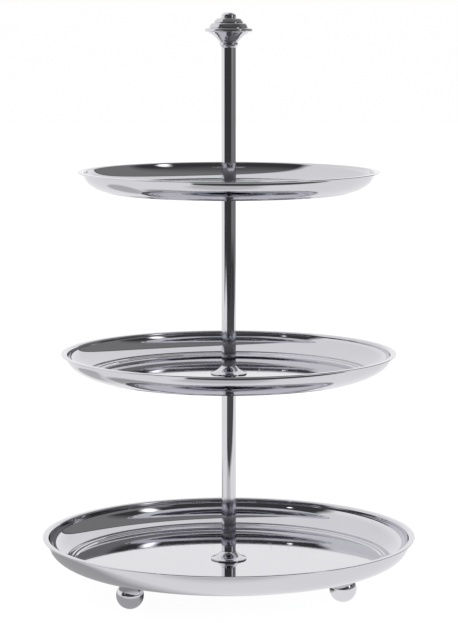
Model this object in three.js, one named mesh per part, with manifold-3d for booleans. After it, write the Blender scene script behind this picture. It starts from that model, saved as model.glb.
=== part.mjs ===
// Three-tier cake stand in polished stainless steel.
//
// Three round trays are threaded on one central column. Each tier is built the same way: the tray
// lies on the rod below it, a trumpet-shaped collar sits on the tray, and the next rod screws down
// on a stud that comes up through both. A stepped finial closes the top, and three ball feet carry
// the bottom tray. Millimetres, +Z up, origin on the floor at the column's axis.

import * as THREE from 'three';
import { mergeVertices } from 'three/addons/utils/BufferGeometryUtils.js';
import Module from 'manifold-3d';

// ---- driving dimensions ------------------------------------------------------------------------

const FOOT_HEIGHT = 26.1;       // floor to the underside of the bottom tray
const SHEET = 1;                // tray sheet thickness
const SEAT_GAP = 0.1;           // between faces that rest on each other

// The wall leaves the flat base at wallSlope (degrees) and steepens around wallBendRadius.
const TRAYS = [
  { name: 'bottom_tray', rimRadius: 155, baseRadius: 130, wallBendRadius: 150.5, wallSlope: 20.5, depth: 22.1 },
  { name: 'middle_tray', rimRadius: 138.5, baseRadius: 113, wallBendRadius: 134, wallSlope: 23, depth: 19.1 },
  { name: 'top_tray', rimRadius: 124, baseRadius: 102.5, wallBendRadius: 118, wallSlope: 25, depth: 16.6 },
];
const LIP_WIDTH = 5.2;          // flat lip around each rim
// Two low steps pressed where the wall meets the floor: run from baseRadius, rise from the floor.
const PRESSED_STEPS = [[-2, 0], [-1, 0.9], [1, 1.1], [1.8, 1.7]];
const STEP_SHIFT = 0.4;         // the steps' inside sits this much further in, so the sheet keeps its thickness
const WALL_FOOT_RUN = 5.2;      // baseRadius to the lowest point of the plain wall
const TRAY_HOLE_RADIUS = 3.4;
const CLEAR_FLOOR_RADIUS = 16;  // the floor outside the collar, where cakes stand, is a face of its own
const TRAY_SEGMENTS = 48;
const WALL_STEPS = 6;

const ROD_RADIUS = 6;
const ROD_BORE_RADIUS = 5;
const LOWER_ROD_LENGTH = 148.5;
const MIDDLE_ROD_LENGTH = 144.4;
const UPPER_ROD_LENGTH = 109.6;

const PLUG_RADIUS = 4.85;       // threaded plug soldered into each rod end
const PLUG_LENGTH = 12;

const THREAD_RADIUS = 3;        // M6 studs and base screw
const TAPPED_RADIUS = 3.2;      // M6 tapped holes, drawn plain
const PASSING_RADIUS = 3.4;     // holes that a stud only passes through
const ENGAGEMENT = 9;           // thread that one rod screws over

const COLLAR_RADIUS = 15;
const COLLAR_HEIGHT = 6.6;
const COLLAR_EDGE = 1;

const FERRULE_HEIGHT = 4.5;
const FINIAL_BORE_DEPTH = 10;

const BALL_RADIUS = 11.3;
const BALL_FLAT_RADIUS = 2.5;   // small worn flat that the ball stands on
const FOOT_CIRCLE_RADIUS = 101.4;
const FOOT_ANGLES = { left: -52.3, right: 67.7, back: 187.7 };   // degrees from -Y towards +X
const FOOT_STUD_RADIUS = 2;
const FOOT_STUD_LENGTH = 9;
const FOOT_BORE_RADIUS = 2.2;
const FOOT_BORE_DEPTH = 10;
const FOOT_COLLAR_RADIUS = 4.5;

const WASHER_RADIUS = 9;
const WASHER_THICKNESS = 1.2;
const SCREW_HEAD_RADIUS = 5.5;
const SCREW_HEAD_HEIGHT = 3.5;
const SOCKET_ACROSS_CORNERS = 4.62;   // 4 mm hexagon key
const SOCKET_DEPTH = 2.2;

// ---- materials ---------------------------------------------------------------------------------

const steel = (color, roughness) => new THREE.MeshStandardMaterial({ color, roughness, metalness: 1 });
const mirrorSteel = () => steel(0xcdccd0, 0.05);
const polishedSteel = () => steel(0xc6c6ca, 0.08);
const platedSteel = () => steel(0xa9aaad, 0.3);

// ---- building blocks ---------------------------------------------------------------------------

// A turned piece: an outline of [radius, height] points, given counterclockwise, around +Z.
function turned(name, outline, segments, material) {
  const points = outline.map(([radius, height]) => new THREE.Vector2(radius, height));
  const geometry = new THREE.LatheGeometry(points, segments);
  geometry.rotateX(Math.PI / 2);
  const mesh = new THREE.Mesh(geometry, material);
  mesh.name = name;
  return mesh;
}

// A plain ring or sleeve standing on z = 0.
function sleeve(name, innerRadius, outerRadius, height, segments, material) {
  const outline = [
    [innerRadius, 0], [outerRadius, 0], [outerRadius, height], [innerRadius, height], [innerRadius, 0],
  ];
  return turned(name, outline, segments, material);
}

// A round bar standing on z = 0, with a small chamfer at both ends.
function bar(name, radius, length, segments, material) {
  const chamfer = 0.4;
  const outline = [
    [0, 0], [radius - chamfer, 0], [radius, chamfer], [radius, length - chamfer],
    [radius - chamfer, length], [0, length],
  ];
  return turned(name, outline, segments, material);
}

const wasm = await Module();
wasm.setup();

function toSolid(geometry) {
  const bare = geometry.clone();
  bare.deleteAttribute('normal');
  bare.deleteAttribute('uv');
  const merged = mergeVertices(bare, 1e-4);
  return new wasm.Manifold(new wasm.Mesh({
    numProp: 3,
    vertProperties: new Float32Array(merged.attributes.position.array),
    triVerts: new Uint32Array(merged.index.array),
  }));
}

function toGeometry(solid) {
  const mesh = solid.getMesh();
  const geometry = new THREE.BufferGeometry();
  geometry.setAttribute('position', new THREE.BufferAttribute(mesh.vertProperties, 3));
  geometry.setIndex(new THREE.BufferAttribute(mesh.triVerts, 1));
  geometry.computeVertexNormals();
  return geometry;
}

// ---- trays -------------------------------------------------------------------------------------

// The tray's wall as a curve from above the pressed steps up to the lip, measured on the underside.
function trayWall({ rimRadius, baseRadius, wallBendRadius, wallSlope, depth }) {
  const rise = Math.tan(THREE.MathUtils.degToRad(wallSlope));
  return new THREE.QuadraticBezierCurve(
    new THREE.Vector2(baseRadius + WALL_FOOT_RUN, WALL_FOOT_RUN * rise),
    new THREE.Vector2(wallBendRadius, (wallBendRadius - baseRadius) * rise),
    new THREE.Vector2(rimRadius - LIP_WIDTH + SHEET, depth - SHEET),
  );
}

// A spun dish: flat base with a centre hole, curved wall, flat lip.
function tray(spec) {
  const wall = trayWall(spec);
  const under = [];
  const inside = [];
  for (const [out, up] of PRESSED_STEPS) {
    under.push([spec.baseRadius + out, up]);
    inside.push([spec.baseRadius + out - STEP_SHIFT, up + SHEET]);
  }
  for (let step = 0; step <= WALL_STEPS; step += 1) {
    const share = step / WALL_STEPS;
    const point = wall.getPoint(share);
    const along = wall.getTangent(share);
    under.push([point.x, point.y]);
    inside.push([point.x - along.y * SHEET, point.y + along.x * SHEET]);
  }
  const lipInnerRadius = inside[inside.length - 1][0];
  const outline = [
    [TRAY_HOLE_RADIUS, 0],
    ...under,
    [spec.rimRadius - 0.3, spec.depth - SHEET],
    [spec.rimRadius, spec.depth - SHEET / 2],
    [spec.rimRadius - 0.3, spec.depth],
    [lipInnerRadius, spec.depth],
    ...inside.reverse(),
    [CLEAR_FLOOR_RADIUS, SHEET],
    [TRAY_HOLE_RADIUS, SHEET],
    [TRAY_HOLE_RADIUS, 0],
  ];
  return turned(spec.name, outline, TRAY_SEGMENTS, mirrorSteel());
}

// ---- column ------------------------------------------------------------------------------------

// A trumpet-shaped collar: wide thin edge on the tray, narrowing in a hollow curve to the rod.
function collar(name) {
  const flare = new THREE.QuadraticBezierCurve(
    new THREE.Vector2(COLLAR_RADIUS, COLLAR_EDGE),
    new THREE.Vector2(ROD_RADIUS + 3, COLLAR_EDGE + 1.5),
    new THREE.Vector2(ROD_RADIUS, COLLAR_HEIGHT),
  );
  const outline = [
    [PASSING_RADIUS, 0],
    [COLLAR_RADIUS, 0],
    ...flare.getPoints(5).map((point) => [point.x, point.y]),
    [PASSING_RADIUS, COLLAR_HEIGHT],
    [PASSING_RADIUS, 0],
  ];
  return turned(name, outline, 24, polishedSteel());
}

// A tube with a threaded plug in each end and a stud standing out of the top plug.
function column(prefix, rodLength, studReach) {
  const group = new THREE.Group();
  const rod = sleeve(`${prefix}_rod`, ROD_BORE_RADIUS, ROD_RADIUS, rodLength, 24, polishedSteel());
  const bottomPlug = sleeve(
    `${prefix}_rod_bottom_plug`, TAPPED_RADIUS, PLUG_RADIUS, PLUG_LENGTH, 16, platedSteel());
  const topPlug = sleeve(
    `${prefix}_rod_top_plug`, TAPPED_RADIUS, PLUG_RADIUS, PLUG_LENGTH, 16, platedSteel());
  topPlug.position.z = rodLength - PLUG_LENGTH;
  const stud = bar(`${prefix}_stud`, THREAD_RADIUS, ENGAGEMENT + studReach, 16, platedSteel());
  stud.position.z = rodLength - ENGAGEMENT;
  group.add(rod, bottomPlug, topPlug, stud);
  return group;
}

// ---- finial ------------------------------------------------------------------------------------

function finialFerrule() {
  const outline = [
    [PASSING_RADIUS, 0], [6.3, 0], [6.6, 0.9], [7.5, 2], [7.6, 3.4], [7.1, FERRULE_HEIGHT],
    [PASSING_RADIUS, FERRULE_HEIGHT], [PASSING_RADIUS, 0],
  ];
  return turned('finial_ferrule', outline, 24, polishedSteel());
}

// A stepped dome over a hollow-sided cone: brim, two rings and a button, with a blind tapped hole.
function finial() {
  const outline = [
    [0, FINIAL_BORE_DEPTH], [TAPPED_RADIUS, FINIAL_BORE_DEPTH], [TAPPED_RADIUS, 0],
    [7.8, 0], [8.9, 1.5], [11.9, 4.5], [16.8, 7.4], [18.9, 7.8],
    [19.7, 9], [18.9, 10.2],
    [16.2, 11.1], [15.9, 11.8], [14, 14.5],
    [12.4, 15.2], [12, 15.9], [9.7, 18.5],
    [6.6, 19.1], [6, 20], [5.1, 22], [2.9, 23.4], [0, 23.7],
  ];
  return turned('finial', outline, 32, polishedSteel());
}

// ---- underside ---------------------------------------------------------------------------------

// A ball with a small flat to stand on and a blind hole for its stud.
function footBall(name) {
  const centreHeight = Math.sqrt(BALL_RADIUS ** 2 - BALL_FLAT_RADIUS ** 2);
  const boreTop = centreHeight + Math.sqrt(BALL_RADIUS ** 2 - FOOT_BORE_RADIUS ** 2);
  const flatAngle = Math.asin(BALL_FLAT_RADIUS / BALL_RADIUS);
  const boreAngle = Math.PI - Math.asin(FOOT_BORE_RADIUS / BALL_RADIUS);
  const steps = 10;
  const outline = [[0, 0]];
  for (let step = 0; step <= steps; step += 1) {
    const angle = THREE.MathUtils.lerp(flatAngle, boreAngle, step / steps);
    outline.push([BALL_RADIUS * Math.sin(angle), centreHeight - BALL_RADIUS * Math.cos(angle)]);
  }
  outline.push([FOOT_BORE_RADIUS, boreTop - FOOT_BORE_DEPTH], [0, boreTop - FOOT_BORE_DEPTH]);
  return turned(name, outline, 20, polishedSteel());
}

// A stud welded under the tray, with a shoulder that the ball is screwed up against.
function footStud(name) {
  const shoulderTop = FOOT_HEIGHT - SEAT_GAP;
  const shoulderBottom = 2 * BALL_RADIUS - SEAT_GAP;
  const outline = [
    [0, shoulderBottom - FOOT_STUD_LENGTH], [FOOT_STUD_RADIUS, shoulderBottom - FOOT_STUD_LENGTH],
    [FOOT_STUD_RADIUS, shoulderBottom], [FOOT_COLLAR_RADIUS, shoulderBottom],
    [FOOT_COLLAR_RADIUS, shoulderTop], [0, shoulderTop],
  ];
  return turned(name, outline, 16, platedSteel());
}

function foot(side) {
  const angle = THREE.MathUtils.degToRad(FOOT_ANGLES[side]);
  const group = new THREE.Group();
  group.add(footBall(`${side}_foot_ball`), footStud(`${side}_foot_stud`));
  group.position.set(FOOT_CIRCLE_RADIUS * Math.sin(angle), -FOOT_CIRCLE_RADIUS * Math.cos(angle), 0);
  return group;
}

// A low-headed M6 socket screw, head down, with its hexagon socket cut in from below.
function baseScrew(shankLength) {
  const outline = [
    [0, 0], [SCREW_HEAD_RADIUS - 1.5, 0], [SCREW_HEAD_RADIUS - 0.4, 1.2],
    [SCREW_HEAD_RADIUS, SCREW_HEAD_HEIGHT - 0.5], [SCREW_HEAD_RADIUS, SCREW_HEAD_HEIGHT],
    [THREAD_RADIUS, SCREW_HEAD_HEIGHT], [THREAD_RADIUS, SCREW_HEAD_HEIGHT + shankLength - 0.5],
    [THREAD_RADIUS - 0.5, SCREW_HEAD_HEIGHT + shankLength], [0, SCREW_HEAD_HEIGHT + shankLength],
  ];
  const screw = turned('base_screw', outline, 16, platedSteel());
  const socketRadius = SOCKET_ACROSS_CORNERS / 2;
  const socket = new THREE.CylinderGeometry(socketRadius, socketRadius, 2 * SOCKET_DEPTH, 6);
  socket.rotateX(Math.PI / 2);
  screw.geometry = toGeometry(toSolid(screw.geometry).subtract(toSolid(socket)));
  return screw;
}

// ---- assembly ----------------------------------------------------------------------------------

const cakeStand = new THREE.Group();

const washerHeight = FOOT_HEIGHT - SEAT_GAP - WASHER_THICKNESS;
const washer = sleeve('base_washer', PASSING_RADIUS, WASHER_RADIUS, WASHER_THICKNESS, 20, platedSteel());
washer.position.z = washerHeight;

const screwHeadTop = washerHeight - SEAT_GAP;
const collarToRod = SHEET + SEAT_GAP + COLLAR_HEIGHT + SEAT_GAP;   // tray underside to the rod's foot
const screw = baseScrew(FOOT_HEIGHT - screwHeadTop + collarToRod + ENGAGEMENT);
screw.position.z = screwHeadTop - SCREW_HEAD_HEIGHT;

cakeStand.add(foot('left'), foot('right'), foot('back'), washer, screw);

const trayStack = SEAT_GAP + collarToRod;   // rod top to the next rod's foot, through a tray
const ferruleStack = SEAT_GAP + FERRULE_HEIGHT + SEAT_GAP;
const tiers = [
  { tray: TRAYS[0], collar: 'bottom_collar', rod: 'lower', length: LOWER_ROD_LENGTH, through: trayStack },
  { tray: TRAYS[1], collar: 'middle_collar', rod: 'middle', length: MIDDLE_ROD_LENGTH, through: trayStack },
  { tray: TRAYS[2], collar: 'top_collar', rod: 'upper', length: UPPER_ROD_LENGTH, through: ferruleStack },
];

let height = FOOT_HEIGHT;
for (const tier of tiers) {
  const level = new THREE.Group();
  level.position.z = height;
  const ring = collar(tier.collar);
  ring.position.z = SHEET + SEAT_GAP;
  const rod = column(tier.rod, tier.length, tier.through + ENGAGEMENT);
  rod.position.z = collarToRod;
  level.add(tray(tier.tray), ring, rod);
  cakeStand.add(level);
  height += collarToRod + tier.length + SEAT_GAP;
}

const ferrule = finialFerrule();
ferrule.position.z = height;
const knob = finial();
knob.position.z = height + FERRULE_HEIGHT + SEAT_GAP;
cakeStand.add(ferrule, knob);

export default cakeStand;
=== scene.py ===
"""Looks for the three-tier cake stand: mirror-polished trays, tubes and turned fittings in a plain studio."""

import math

import bmesh
import bpy
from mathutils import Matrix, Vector


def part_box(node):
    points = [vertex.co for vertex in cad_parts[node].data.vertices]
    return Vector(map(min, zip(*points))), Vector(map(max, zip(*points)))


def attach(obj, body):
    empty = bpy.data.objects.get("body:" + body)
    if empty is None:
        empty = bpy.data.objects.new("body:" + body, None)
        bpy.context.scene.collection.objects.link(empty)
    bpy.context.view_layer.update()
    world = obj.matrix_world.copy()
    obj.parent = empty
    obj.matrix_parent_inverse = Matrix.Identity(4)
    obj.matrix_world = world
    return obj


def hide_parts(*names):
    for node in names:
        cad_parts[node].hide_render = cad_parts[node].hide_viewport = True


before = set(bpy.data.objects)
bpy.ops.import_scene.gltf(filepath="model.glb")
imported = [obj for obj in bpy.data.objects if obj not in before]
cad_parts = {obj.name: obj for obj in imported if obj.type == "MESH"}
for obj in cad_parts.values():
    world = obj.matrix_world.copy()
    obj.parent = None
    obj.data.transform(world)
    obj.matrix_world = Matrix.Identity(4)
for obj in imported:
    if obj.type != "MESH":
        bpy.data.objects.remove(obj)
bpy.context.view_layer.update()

MM = 0.001

# ---- driving sizes, in millimetres where the name ends in _MM ------------------------------------

SHEET_MM = 1.0
TRAY_SHAPES = {
    # radius of the flat floor, radius where the wall bends, slope at which it leaves the floor (degrees)
    "bottom_tray": {"corner": 130.0, "bend": 150.5, "slope": 20.5},
    "middle_tray": {"corner": 113.0, "bend": 134.0, "slope": 23.0},
    "top_tray": {"corner": 102.5, "bend": 118.0, "slope": 25.0},
}
LIP_WIDTH_MM = 5.2
# corners of the two pressed steps: distance outwards from the floor's edge, height over the floor
STEPS_MM = ((-2.2, 0.0), (-1.2, 0.9), (0.8, 1.1), (1.6, 1.7))
STEP_FILLET_MM = 0.8
WALL_FOOT_MM = 5.5
WALL_FOOT_FILLET_MM = 4.0
LIP_FILLET_MM = 1.2

ROD_BORE_MM = 5.0
PASSING_HOLE_MM = 3.4
TAPPED_HOLE_MM = 3.2
THREAD_PITCH_MM = 1.0
THREAD_DEPTH_MM = 0.55
SMALLEST_THREAD_MM = 2.0

TIERS = ("lower", "middle", "upper")
FEET = ("left", "right", "back")

SEGMENTS = 192
SUPPORT_MM = 0.3          # extra rings this close to the ends of long straight stretches
SMOOTH_LIMIT_DEGREES = 30


# ---- outlines ------------------------------------------------------------------------------------

def rounded(corners, step_degrees=7.5):
    """An outline of (radius, height, fillet) corners in mm, with each filleted corner as an arc."""
    points = []
    for index, (r, z, fillet) in enumerate(corners):
        here = Vector((r, z))
        if not fillet or index in (0, len(corners) - 1):
            points.append(here)
            continue
        before = Vector(corners[index - 1][:2]) - here
        after = Vector(corners[index + 1][:2]) - here
        turn = math.pi - before.angle(after)
        reach = min(fillet * math.tan(turn / 2), 0.49 * before.length, 0.49 * after.length)
        start = here + before.normalized() * reach
        end = here + after.normalized() * reach
        steps = max(2, math.ceil(math.degrees(turn) / step_degrees))
        middle = (start + end) / 2 - here
        radius = reach / math.tan(turn / 2)
        centre = here + middle.normalized() * math.hypot(radius, reach)
        first = start - centre
        sweep = first.angle_signed(end - centre)
        for step in range(steps + 1):
            angle = -sweep * step / steps
            cos, sin = math.cos(angle), math.sin(angle)
            points.append(centre + Vector((first.x * cos - first.y * sin, first.x * sin + first.y * cos)))
    return points


def bezier(start, control, end, steps):
    """Points of a quadratic curve after its start, up to and with its end."""
    points = []
    for step in range(1, steps + 1):
        t = step / steps
        points.append(start * (1 - t) ** 2 + control * 2 * t * (1 - t) + end * t ** 2)
    return points


def offset(path, distance):
    """The path moved sideways, to its left where distance is positive."""
    moved = []
    for index, point in enumerate(path):
        ahead = path[min(index + 1, len(path) - 1)] - point
        behind = point - path[max(index - 1, 0)]
        if index == 0:
            behind = ahead
        if index == len(path) - 1:
            ahead = behind
        bisector = (ahead.normalized() + behind.normalized()).normalized()
        spread = max(0.5, bisector.dot(ahead.normalized()))
        moved.append(point + Vector((-bisector.y, bisector.x)) * distance / spread)
    return moved


def with_supports(outline):
    """The outline with extra points near the ends of its long stretches, which keeps flats flat."""
    points = []
    count = len(outline)
    for index, here in enumerate(outline):
        points.append(here)
        after = outline[(index + 1) % count]
        along = after - here
        if along.length > 4 * SUPPORT_MM:
            step = along.normalized() * SUPPORT_MM
            points.extend([here + step, after - step])
    return points


# ---- meshes --------------------------------------------------------------------------------------

def turned(name, outline, base, segments=SEGMENTS, hexagons=(), ripple=None):
    """A turned piece: a closed outline of (radius, height) in mm round the vertical through base (metres).

    hexagons holds indices of outline points whose ring is a hexagon of that inner radius.
    ripple(angle, radius, height) gives what is added to a radius, in mm, for threads."""
    mesh = bmesh.new()
    rings = []
    for index, point in enumerate(outline):
        if point.x < 1e-6:
            rings.append([mesh.verts.new((base[0], base[1], base[2] + point.y * MM))])
            continue
        ring = []
        for segment in range(segments):
            angle = 2 * math.pi * segment / segments
            radius = point.x
            if index in hexagons:
                sixth = math.pi / 3
                radius = point.x / math.cos(angle % sixth - sixth / 2)
            if ripple:
                radius += ripple(angle, point.x, point.y)
            ring.append(mesh.verts.new((base[0] + radius * MM * math.cos(angle),
                                        base[1] + radius * MM * math.sin(angle),
                                        base[2] + point.y * MM)))
        rings.append(ring)
    for index, ring in enumerate(rings):
        above = rings[(index + 1) % len(rings)]
        if len(ring) == 1 and len(above) == 1:
            continue
        for segment in range(segments):
            beside = (segment + 1) % segments
            if len(ring) == 1:
                mesh.faces.new((ring[0], above[beside], above[segment]))
            elif len(above) == 1:
                mesh.faces.new((ring[segment], ring[beside], above[0]))
            else:
                mesh.faces.new((ring[segment], ring[beside], above[beside], above[segment]))
    bmesh.ops.recalc_face_normals(mesh, faces=mesh.faces)
    for face in mesh.faces:
        face.smooth = True
    limit = math.radians(SMOOTH_LIMIT_DEGREES)
    for edge in mesh.edges:
        edge.smooth = edge.calc_face_angle(0) < limit
    data = bpy.data.meshes.new(name)
    mesh.to_mesh(data)
    mesh.free()
    piece = bpy.data.objects.new(name, data)
    bpy.context.scene.collection.objects.link(piece)
    return piece


def add_mesh(name, points, faces):
    data = bpy.data.meshes.new(name)
    data.from_pydata(points, [], faces)
    added = bpy.data.objects.new(name, data)
    bpy.context.scene.collection.objects.link(added)
    return added


def place(piece, node, body, material):
    """piece stands for a CAD node, moves with its body and wears the slot's material."""
    piece.data.materials.append(material)
    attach(piece, body)
    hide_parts(node)
    return piece


def foot_of(node):
    """The middle of a node's lowest face, in metres, with its radius and height in mm."""
    low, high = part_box(node)
    base = Vector(((low.x + high.x) / 2, (low.y + high.y) / 2, low.z))
    return base, (high.x - low.x) / 2 / MM, (high.z - low.z) / MM


def outline_of(corners):
    """A rounded outline that is ready to be turned."""
    return with_supports(rounded(corners))


# ---- materials -----------------------------------------------------------------------------------

class Nodes:
    """Short calls for building a node tree."""

    def __init__(self, tree):
        self.tree = tree

    def add(self, kind, inputs=(), **settings):
        node = self.tree.nodes.new(kind)
        for name, value in settings.items():
            setattr(node, name, value)
        for name, value in dict(inputs).items():
            if isinstance(value, bpy.types.NodeSocket):
                self.tree.links.new(value, node.inputs[name])
            else:
                node.inputs[name].default_value = value
        return node

    def maths(self, operation, first, second=0.0):
        return self.add("ShaderNodeMath", {0: first, 1: second}, operation=operation).outputs[0]

    def between(self, value, from_low, from_high, low, high):
        inputs = {"Value": value, "From Min": from_low, "From Max": from_high, "To Min": low, "To Max": high}
        return self.add("ShaderNodeMapRange", inputs).outputs["Result"]

    def noise(self, vector, scale, detail=3.0, roughness=0.55):
        inputs = {"Vector": vector, "Scale": scale, "Detail": detail, "Roughness": roughness}
        return self.add("ShaderNodeTexNoise", inputs).outputs["Fac"]

    def length(self, first, second):
        """The length of the sloping side of a right-angled triangle."""
        first_squared = self.maths("MULTIPLY", first, first)
        second_squared = self.maths("MULTIPLY", second, second)
        return self.maths("SQRT", self.maths("ADD", first_squared, second_squared))

    def place_in_object(self):
        return self.add("ShaderNodeTexCoord").outputs["Object"]

    def axes(self, vector):
        return self.add("ShaderNodeSeparateXYZ", {0: vector}).outputs


def bare_material(name):
    """A new material with an empty node tree, and the calls that fill it."""
    material = bpy.data.materials.new(name)
    material.use_nodes = True
    material.node_tree.nodes.clear()
    return material, Nodes(material.node_tree)


def steel(name, tint, roughness, line_scale, line_depth, wave_depth):
    """Polished steel: fine turning lines round the column's axis, hairline scratches, slight waviness."""
    material, nodes = bare_material(name)
    place_in_object = nodes.place_in_object()
    axes = nodes.axes(place_in_object)
    from_axis = nodes.length(axes["X"], axes["Y"])
    rings = nodes.add("ShaderNodeCombineXYZ", {"X": from_axis, "Y": axes["Z"]}).outputs[0]
    lines = nodes.noise(rings, line_scale, detail=4.0, roughness=0.7)

    stretched = nodes.add("ShaderNodeMapping", {"Vector": place_in_object, "Rotation": (0.3, 0.5, 0.8),
                                                "Scale": (900.0, 18.0, 18.0)}).outputs[0]
    crossed = nodes.add("ShaderNodeMapping", {"Vector": place_in_object, "Rotation": (0.9, 0.2, 2.1),
                                              "Scale": (700.0, 14.0, 14.0)}).outputs[0]
    first_scratches = nodes.noise(stretched, 1.0, detail=2.0)
    second_scratches = nodes.noise(crossed, 1.0, detail=2.0)
    scratches = nodes.between(nodes.maths("MAXIMUM", first_scratches, second_scratches), 0.66, 0.76, 0.0, 1.0)

    cloud = nodes.noise(place_in_object, 22.0, detail=5.0)
    smears = nodes.noise(place_in_object, 70.0, detail=6.0, roughness=0.65)
    wave = nodes.noise(place_in_object, 9.0, detail=2.0)

    low = [channel * 0.965 for channel in tint]
    # sockets 6 and 7 are the Mix node's two colours; their names are shared with its number sockets
    colour = nodes.add("ShaderNodeMix", {"Factor": nodes.between(cloud, 0.3, 0.7, 0.0, 1.0),
                                         6: (*low, 1.0), 7: (*tint, 1.0)}, data_type="RGBA")
    rough = nodes.between(smears, 0.35, 0.75, roughness * 0.6, roughness * 1.5)
    rough = nodes.maths("ADD", rough, nodes.maths("MULTIPLY", scratches, 0.08))
    rough = nodes.maths("ADD", rough, nodes.maths("MULTIPLY", lines, roughness * 0.4))

    waved = nodes.add("ShaderNodeBump", {"Strength": 1.0, "Distance": wave_depth, "Height": wave})
    lined = nodes.add("ShaderNodeBump", {"Strength": 1.0, "Distance": line_depth, "Height": lines,
                                         "Normal": waved.outputs[0]})
    scratched = nodes.add("ShaderNodeBump", {"Strength": 0.5, "Distance": 2e-6, "Height": scratches,
                                             "Normal": lined.outputs[0]}, invert=True)
    shader = nodes.add("ShaderNodeBsdfPrincipled", {"Base Color": colour.outputs[2], "Metallic": 1.0,
                                                    "Roughness": rough, "Normal": scratched.outputs[0]})
    nodes.add("ShaderNodeOutputMaterial", {"Surface": shader.outputs[0]})
    return material


TRAY_STEEL = steel("tray_steel", (0.70, 0.695, 0.735), 0.035, 2500.0, 1.0e-6, 3.0e-5)
ROD_STEEL = steel("rod_steel", (0.73, 0.725, 0.765), 0.05, 3000.0, 1.5e-6, 1.0e-5)
FITTING_STEEL = steel("fitting_steel", (0.74, 0.735, 0.775), 0.09, 3500.0, 2.0e-6, 1.0e-5)
FASTENER_STEEL = steel("fastener_steel", (0.60, 0.60, 0.61), 0.22, 2500.0, 4.0e-6, 1.0e-5)


# ---- trays ---------------------------------------------------------------------------------------

def tray_outline(shape, rim_radius, depth):
    """A spun dish as a line down the middle of its sheet, then thickened, with a rounded edge."""
    half = SHEET_MM / 2
    slope = math.radians(shape["slope"])
    corner = Vector((shape["corner"], half))
    uphill = Vector((math.cos(slope), math.sin(slope)))
    bend = corner + uphill * ((shape["bend"] - shape["corner"]) / math.cos(slope))
    top = Vector((rim_radius - LIP_WIDTH_MM + half, depth - half))
    steep = (top - bend).normalized()

    lip_turn = math.atan2(steep.y, steep.x)
    lip_reach = LIP_FILLET_MM * math.tan(lip_turn / 2)
    wall_foot = corner + uphill * WALL_FOOT_MM
    wall_head = top - steep * lip_reach

    steps = [(corner.x + out, half + up, STEP_FILLET_MM) for out, up in STEPS_MM]
    foot_corners = [(0, half, 0), *steps, (*wall_foot, WALL_FOOT_FILLET_MM), (*bend, 0)]
    foot_curve = rounded(foot_corners, 4.0)[1:-1]
    lip_arc = rounded([(*bend, 0), (*top, LIP_FILLET_MM), (rim_radius, top.y, 0)], 8.0)[1:-1]
    line = [Vector((PASSING_HOLE_MM, half)), *foot_curve, *bezier(foot_curve[-1], bend, wall_head, 36),
            *lip_arc[1:], Vector((rim_radius - half, top.y))]

    nose = []
    for step in range(1, 8):
        angle = -math.pi / 2 + math.pi * step / 8
        nose.append(line[-1] + Vector((math.cos(angle), math.sin(angle))) * half)
    return [*offset(line, -half), *nose, *reversed(offset(line, half))]


def make_tray(node, body):
    base, rim_radius, depth = foot_of(node)
    outline = tray_outline(TRAY_SHAPES[node], rim_radius, depth)
    piece = turned(node + "_fine", with_supports(outline), base, 256)
    place(piece, node, body, TRAY_STEEL)


# ---- column --------------------------------------------------------------------------------------

def make_rod(tier):
    node = tier + "_rod"
    base, radius, length = foot_of(node)
    edge = 0.25
    outline = outline_of([(ROD_BORE_MM, 0, 0), (radius, 0, edge), (radius, length, edge),
                          (ROD_BORE_MM, length, 0)])
    place(turned(node + "_fine", outline, base, 96), node, tier + "_column", ROD_STEEL)


def make_plug(node, body):
    base, radius, length = foot_of(node)
    edge = 0.4
    outline = outline_of([(TAPPED_HOLE_MM, edge, 0), (TAPPED_HOLE_MM + edge, 0, 0), (radius, 0, edge),
                          (radius, length, edge), (TAPPED_HOLE_MM + edge, length, 0),
                          (TAPPED_HOLE_MM, length - edge, 0)])
    place(turned(node + "_fine", outline, base, 64), node, body, FASTENER_STEEL)


def thread(angle, radius, height):
    """A rolled screw thread: one rounded groove for each turn."""
    if radius < SMALLEST_THREAD_MM:
        return 0.0
    turn = height / THREAD_PITCH_MM - angle / (2 * math.pi)
    return -THREAD_DEPTH_MM * (0.5 - 0.5 * math.cos(2 * math.pi * turn))


def threaded_side(radius, low, high):
    """Closely spaced points up a threaded shank."""
    steps = round((high - low) / THREAD_PITCH_MM * 10)
    return [Vector((radius, low + (high - low) * step / steps)) for step in range(steps + 1)]


def make_stud(tier):
    node = tier + "_stud"
    base, radius, length = foot_of(node)
    chamfer = 0.5
    side = threaded_side(radius, chamfer, length - chamfer)
    outline = [Vector((0, 0)), Vector((radius - chamfer, 0)), *side,
               Vector((radius - chamfer, length)), Vector((0, length))]
    piece = turned(node + "_fine", outline, base, 48, ripple=thread)
    place(piece, node, tier + "_column", FASTENER_STEEL)


def make_collar(node, body):
    """A trumpet: a thin round-edged brim that sweeps up to the rod."""
    base, radius, height = foot_of(node)
    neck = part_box("lower_rod")
    neck_radius = (neck[1].x - neck[0].x) / 2 / MM
    brim = 1.0
    start = Vector((radius - 0.3, brim))
    flare = bezier(start, Vector((neck_radius + 3.0, brim + 1.5)), Vector((neck_radius + 0.02, height)), 20)
    edge = [Vector((radius - 0.3, 0.0)), Vector((radius - 0.08, 0.12)), Vector((radius, 0.4)),
            Vector((radius, 0.6)), Vector((radius - 0.08, 0.88)), start]
    outline = [Vector((PASSING_HOLE_MM, 0)), *edge, *flare, Vector((PASSING_HOLE_MM, height))]
    piece = turned(node + "_fine", with_supports(outline), base, 128)
    place(piece, node, body, FITTING_STEEL)


# ---- finial --------------------------------------------------------------------------------------

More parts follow.
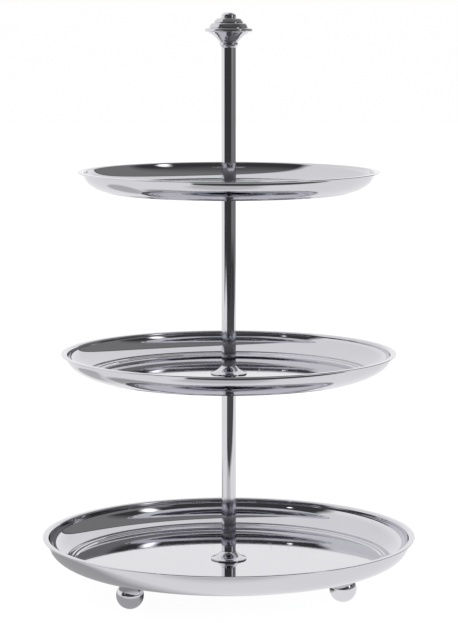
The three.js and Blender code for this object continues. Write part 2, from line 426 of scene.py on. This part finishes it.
def make_ferrule():
    base, radius, height = foot_of("finial_ferrule")
    outline = outline_of([(PASSING_HOLE_MM, 0, 0), (6.3, 0, 0.2), (6.6, 0.9, 0.8), (radius, 2.0, 1.0),
                          (radius, 3.4, 1.0), (7.1, height, 0.3), (PASSING_HOLE_MM, height, 0)])
    piece = turned("finial_ferrule_fine", outline, base, 96)
    place(piece, "finial_ferrule", "finial_ferrule", FITTING_STEEL)


def make_finial():
    """A hollow-sided cone under a brim, then two stepped rings and a button, each with a round edge."""
    base, brim, height = foot_of("finial")
    bore_depth = 10.0
    outline = outline_of([
        (0, bore_depth, 0), (TAPPED_HOLE_MM, bore_depth, 0), (TAPPED_HOLE_MM, 0, 0),
        (7.8, 0, 0.2), (8.9, 1.5, 3.0), (11.9, 4.5, 12.0), (17.1, 8.0, 1.0),
        (brim, 8.2, 1.1), (brim, 10.6, 1.1), (15.4, 11.4, 0.3),
        (16.0, 11.6, 0.3), (14.6, 14.7, 1.2), (11.6, 15.5, 0.3),
        (12.3, 15.8, 0.3), (10.2, 18.6, 1.2), (6.0, 19.6, 0.3),
        (6.2, 20.4, 0.6), (5.9, 22.0, 1.6), (3.4, 23.7, 3.0), (0, height, 0),
    ])
    place(turned("finial_fine", outline, base, 192), "finial", "finial", FITTING_STEEL)


# ---- feet and base screw -------------------------------------------------------------------------

def make_foot(side):
    node = side + "_foot_ball"
    base, radius, _ = foot_of(node)
    flat = 2.5
    bore = 2.2
    middle = math.sqrt(radius ** 2 - flat ** 2)
    start = math.asin(flat / radius)
    stop = math.pi - math.asin(bore / radius)
    outline = [Vector((0, 0))]
    steps = 64
    for step in range(steps + 1):
        angle = start + (stop - start) * step / steps
        outline.append(Vector((radius * math.sin(angle), middle - radius * math.cos(angle))))
    top = outline[-1].y
    outline.extend([Vector((bore, top - 10)), Vector((0, top - 10))])
    place(turned(node + "_fine", outline, base, 128), node, "base", FITTING_STEEL)

    node = side + "_foot_stud"
    base, radius, height = foot_of(node)
    shank = 2.0
    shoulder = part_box(side + "_foot_ball")[1].z / MM - base.z / MM
    chamfer = 0.3
    shoulder_side = rounded([(shank, shoulder, 0), (radius, shoulder, 0.3), (radius, height, 0.1),
                             (0, height, 0)])
    outline = [Vector((0, 0)), Vector((shank - chamfer, 0)), *threaded_side(shank, chamfer, shoulder),
               *shoulder_side[1:]]
    place(turned(node + "_fine", outline, base, 64), node, "base", FASTENER_STEEL)


def make_base_screw():
    node = "base_screw"
    base, radius, height = foot_of(node)
    socket = 2.0
    socket_depth = 2.2
    head = 3.5
    shank = 3.0
    plain_shank = 2.0
    chamfer = 0.5
    head_side = rounded([(socket + 0.6, 0, 0), (radius - 1.5, 0, 0.3), (radius, 1.4, 0.8),
                         (radius, head, 0.2), (shank, head, 0)])
    outline = [Vector((0, socket_depth)), Vector((socket, socket_depth)), Vector((socket, 0.2)),
               Vector((socket + 0.3, 0)), *head_side[1:-1],
               *threaded_side(shank, head, height - chamfer), Vector((shank - chamfer, height)),
               Vector((0, height))]

    def shank_thread(angle, point_radius, point_height):
        return thread(angle, point_radius, point_height) if point_height > head + plain_shank else 0.0

    piece = turned(node + "_fine", outline, base, 96, hexagons=(1, 2, 3), ripple=shank_thread)
    place(piece, node, "base", FASTENER_STEEL)

    node = "base_washer"
    base, radius, height = foot_of(node)
    outline = outline_of([(PASSING_HOLE_MM, 0, 0), (radius, 0, 0.3), (radius, height, 0.3),
                          (PASSING_HOLE_MM, height, 0)])
    place(turned(node + "_fine", outline, base, 96), node, "base", FASTENER_STEEL)


make_tray("bottom_tray", "base")
make_tray("middle_tray", "middle_tray")
make_tray("top_tray", "top_tray")
for collar_name in ("bottom_collar", "middle_collar", "top_collar"):
    make_collar(collar_name, collar_name)
for tier_name in TIERS:
    make_rod(tier_name)
    make_stud(tier_name)
    make_plug(tier_name + "_rod_bottom_plug", tier_name + "_column")
    make_plug(tier_name + "_rod_top_plug", tier_name + "_column")
make_ferrule()
make_finial()
for side_name in FEET:
    make_foot(side_name)
make_base_screw()


# ---- studio --------------------------------------------------------------------------------------

STUDIO_RADIUS = 2.7
STUDIO_CENTRE = Vector((0, 0, 0.2))


def glow(name, build):
    """A material that only shines: build(nodes) gives its brightness as a number or a socket."""
    material, nodes = bare_material(name)
    shine = nodes.add("ShaderNodeEmission", {"Strength": build(nodes)})
    nodes.add("ShaderNodeOutputMaterial", {"Surface": shine.outputs[0]})
    return material


def show_only_in_reflections(card):
    card.visible_camera = False
    card.visible_diffuse = False
    card.visible_shadow = False


def clamped(nodes, value):
    return nodes.between(value, 0.0, 1.0, 0.0, 1.0)


def blend(nodes, low, high, share):
    """low where share is 0, high where it is 1."""
    return nodes.between(share, 0.0, 1.0, low, high)


def room_brightness(nodes):
    """The room by direction (x right, y away from the camera, z up, each from -1 to 1).

    A light wall stands behind and to the left. In front of it the room is dark, with a grey side
    to the right and a grey ceiling, and a thin dark frame where the grey side ends."""
    inputs = {0: nodes.place_in_object(), 1: tuple(STUDIO_CENTRE)}
    from_centre = nodes.add("ShaderNodeVectorMath", inputs, operation="SUBTRACT").outputs[0]
    direction = nodes.add("ShaderNodeVectorMath", {0: from_centre}, operation="NORMALIZE").outputs[0]
    axes = nodes.axes(direction)
    right, back, up = axes["X"], axes["Y"], axes["Z"]

    past_wall = nodes.maths("SUBTRACT", back, nodes.maths("MULTIPLY", right, 0.77))
    past_wall = nodes.maths("SUBTRACT", past_wall, nodes.between(right, -1.0, -0.85, 0.49, 0.33))
    softness = nodes.between(right, -0.7, 0.1, 0.16, 0.015)
    in_light = clamped(nodes, nodes.maths("ADD", nodes.maths("DIVIDE", past_wall, softness), 0.5))

    grey_from = nodes.between(up, 0.0, 1.0, 0.02, 0.55)
    in_grey = clamped(nodes, nodes.maths("ADD", nodes.maths("DIVIDE", back, grey_from), 0.6))
    low_band = nodes.maths("MULTIPLY", nodes.between(up, -0.075, -0.055, 0.0, 1.0),
                           nodes.between(up, 0.14, 0.20, 1.0, 0.0))
    low_band = nodes.maths("MULTIPLY", low_band, nodes.between(right, 0.60, 0.68, 0.0, 1.0))
    in_grey = nodes.maths("MAXIMUM", in_grey, low_band)
    dark = blend(nodes, nodes.between(up, 0.6, 0.9, 0.05, 0.12), 0.22, in_grey)
    from_frame = nodes.maths("ABSOLUTE", nodes.maths("ADD", past_wall, 0.03))
    frame_line = nodes.between(from_frame, 0.0, 0.035, 0.35, 1.0)
    dark = nodes.maths("MULTIPLY", dark, frame_line)
    light = nodes.between(up, 0.1, 0.35, 1.0, 0.88)
    return blend(nodes, dark, light, in_light)


def make_room():
    """A dome round the stand, from a little under the table's height to straight overhead."""
    columns, rows, lowest = 96, 40, -14
    points, faces = [], []
    for row in range(rows):
        elevation = math.radians(lowest + (90 - lowest) * row / rows)
        for column in range(columns):
            azimuth = 2 * math.pi * column / columns
            direction = Vector((math.sin(azimuth) * math.cos(elevation),
                                -math.cos(azimuth) * math.cos(elevation), math.sin(elevation)))
            points.append(STUDIO_CENTRE + direction * STUDIO_RADIUS)
    points.append(STUDIO_CENTRE + Vector((0, 0, STUDIO_RADIUS)))
    for row in range(rows):
        for column in range(columns):
            first = row * columns + column
            beside = row * columns + (column + 1) % columns
            if row < rows - 1:
                faces.append((first, beside, beside + columns, first + columns))
            else:
                faces.append((first, beside, len(points) - 1))
    room = add_mesh("room", points, faces)
    room.data.materials.append(glow("room", room_brightness))
    show_only_in_reflections(room)


def make_lamp(name, azimuth, elevation, half_width, half_height, brightness):
    """An oval lamp with a soft edge.

    All angles are in degrees. Azimuth 0 is the camera's side and 90 is its right."""
    distance = STUDIO_RADIUS * 0.94
    turn, rise = math.radians(azimuth), math.radians(elevation)
    direction = Vector((math.sin(turn) * math.cos(rise), -math.cos(turn) * math.cos(rise), math.sin(rise)))
    wide = distance * math.radians(half_width)
    tall = distance * math.radians(half_height)
    corners = [(-wide, -tall, 0), (wide, -tall, 0), (wide, tall, 0), (-wide, tall, 0)]
    lamp = add_mesh(name, corners, [(0, 1, 2, 3)])
    lamp.location = STUDIO_CENTRE + direction * distance
    lamp.rotation_euler = (-direction).to_track_quat("Z", "Y").to_euler()

    material, nodes = bare_material(name)
    axes = nodes.axes(nodes.place_in_object())
    from_middle = nodes.length(nodes.maths("DIVIDE", axes["X"], wide), nodes.maths("DIVIDE", axes["Y"], tall))
    inside = nodes.between(from_middle, 0.35, 1.0, 1.0, 0.0)
    shine = nodes.add("ShaderNodeEmission", {"Strength": brightness})
    clear = nodes.add("ShaderNodeBsdfTransparent")
    share = nodes.maths("MULTIPLY", inside, inside)
    mixed = nodes.add("ShaderNodeMixShader", {0: share, 1: clear.outputs[0], 2: shine.outputs[0]})
    nodes.add("ShaderNodeOutputMaterial", {"Surface": mixed.outputs[0]})
    lamp.data.materials.append(material)
    show_only_in_reflections(lamp)


def make_world():
    world = bpy.data.worlds.new("studio")
    bpy.context.scene.world = world
    world.use_nodes = True
    background = world.node_tree.nodes["Background"]
    background.inputs["Color"].default_value = (1.0, 0.995, 1.0, 1.0)
    background.inputs["Strength"].default_value = 1.0


def flat_square(name, half_side, height):
    corners = [(-half_side, -half_side, height), (half_side, -half_side, height),
               (half_side, half_side, height), (-half_side, half_side, height)]
    return add_mesh(name, corners, [(0, 1, 2, 3)])


def make_floor():
    """The white floor that the camera sees, almost without shadow. The steel doesn't reflect it."""
    floor = flat_square("floor", 8.0, -0.0002)
    material, nodes = bare_material("floor")
    matt = nodes.add("ShaderNodeBsdfDiffuse", {"Color": (0.1, 0.1, 0.1, 1)})
    shine = nodes.add("ShaderNodeEmission", {"Strength": 0.955})
    both = nodes.add("ShaderNodeAddShader", {0: matt.outputs[0], 1: shine.outputs[0]})
    nodes.add("ShaderNodeOutputMaterial", {"Surface": both.outputs[0]})
    floor.data.materials.append(material)
    floor.visible_glossy = False


def painted_shade(nodes, axes, x, y, half_width, half_depth, strength):
    """1 away from a soft oval of painted shadow on the table, down to 1 - strength in its middle."""
    across = nodes.maths("DIVIDE", nodes.maths("SUBTRACT", axes["X"], x), half_width)
    along = nodes.maths("DIVIDE", nodes.maths("SUBTRACT", axes["Y"], y), half_depth)
    return nodes.between(nodes.length(across, along), 0.7, 1.0, 1.0 - strength, 1.0)


def painted_table_light(nodes):
    """Painted light round the stand, dark towards the camera, with painted shadows to the left and under the
    trays.
    """
    axes = nodes.axes(nodes.place_in_object())
    middle_edge = nodes.maths("SUBTRACT", nodes.maths("MULTIPLY", axes["X"], 0.15), 0.54)
    right_edge = nodes.maths("SUBTRACT", nodes.maths("MULTIPLY", axes["X"], 0.5), 0.66)
    left_edge = nodes.maths("MULTIPLY", axes["X"], 1.9)
    front_edge = nodes.maths("MINIMUM", nodes.maths("MAXIMUM", middle_edge, right_edge), left_edge)
    behind_edge = nodes.maths("SUBTRACT", axes["Y"], front_edge)
    light = nodes.between(behind_edge, -0.05, 0.05, 0.08, 0.92)
    # painted shadows of the stand on the table: to the left, in front and under the trays
    left_shades = nodes.maths("MINIMUM", painted_shade(nodes, axes, -0.12, 0.0, 0.19, 0.145, 0.53),
                              painted_shade(nodes, axes, -0.37, 0.22, 0.22, 0.18, 0.40))
    front_shade = painted_shade(nodes, axes, -0.03, -0.48, 0.28, 0.30, 0.30)
    core_shade = painted_shade(nodes, axes, -0.01, -0.01, 0.09, 0.07, 0.80)
    for shade in (left_shades, front_shade, core_shade):
        light = nodes.maths("MULTIPLY", light, shade)
    return light


def make_table():
    """The table that only the steel sees, just over the floor: a glowing card, no lamp, with painted light
    and painted shadows.
    """
    table = flat_square("table", 1.85, -0.0001)
    table.data.materials.append(glow("table", painted_table_light))
    show_only_in_reflections(table)


def make_lamps():
    make_lamp("right_lamp", azimuth=58, elevation=20, half_width=9, half_height=22, brightness=2.0)
    make_lamp("left_lamp", azimuth=-43, elevation=15, half_width=3, half_height=3, brightness=4.0)


def make_camera():
    """A long lens two metres in front of the stand, tilted a little down."""
    tilt_down = 7.13
    data = bpy.data.cameras.new("camera")
    data.lens = 142.5
    data.sensor_width = 36.0
    data.clip_start = 0.05
    camera = bpy.data.objects.new("camera", data)
    camera.location = (0.0002, -2.021, 0.4882)
    camera.rotation_euler = (math.radians(90 - tilt_down), 0, 0)
    bpy.context.scene.collection.objects.link(camera)
    bpy.context.scene.camera = camera


make_world()
make_floor()
make_table()
make_room()
make_lamps()
make_camera()
bpy.context.scene.view_settings.view_transform = "Standard"
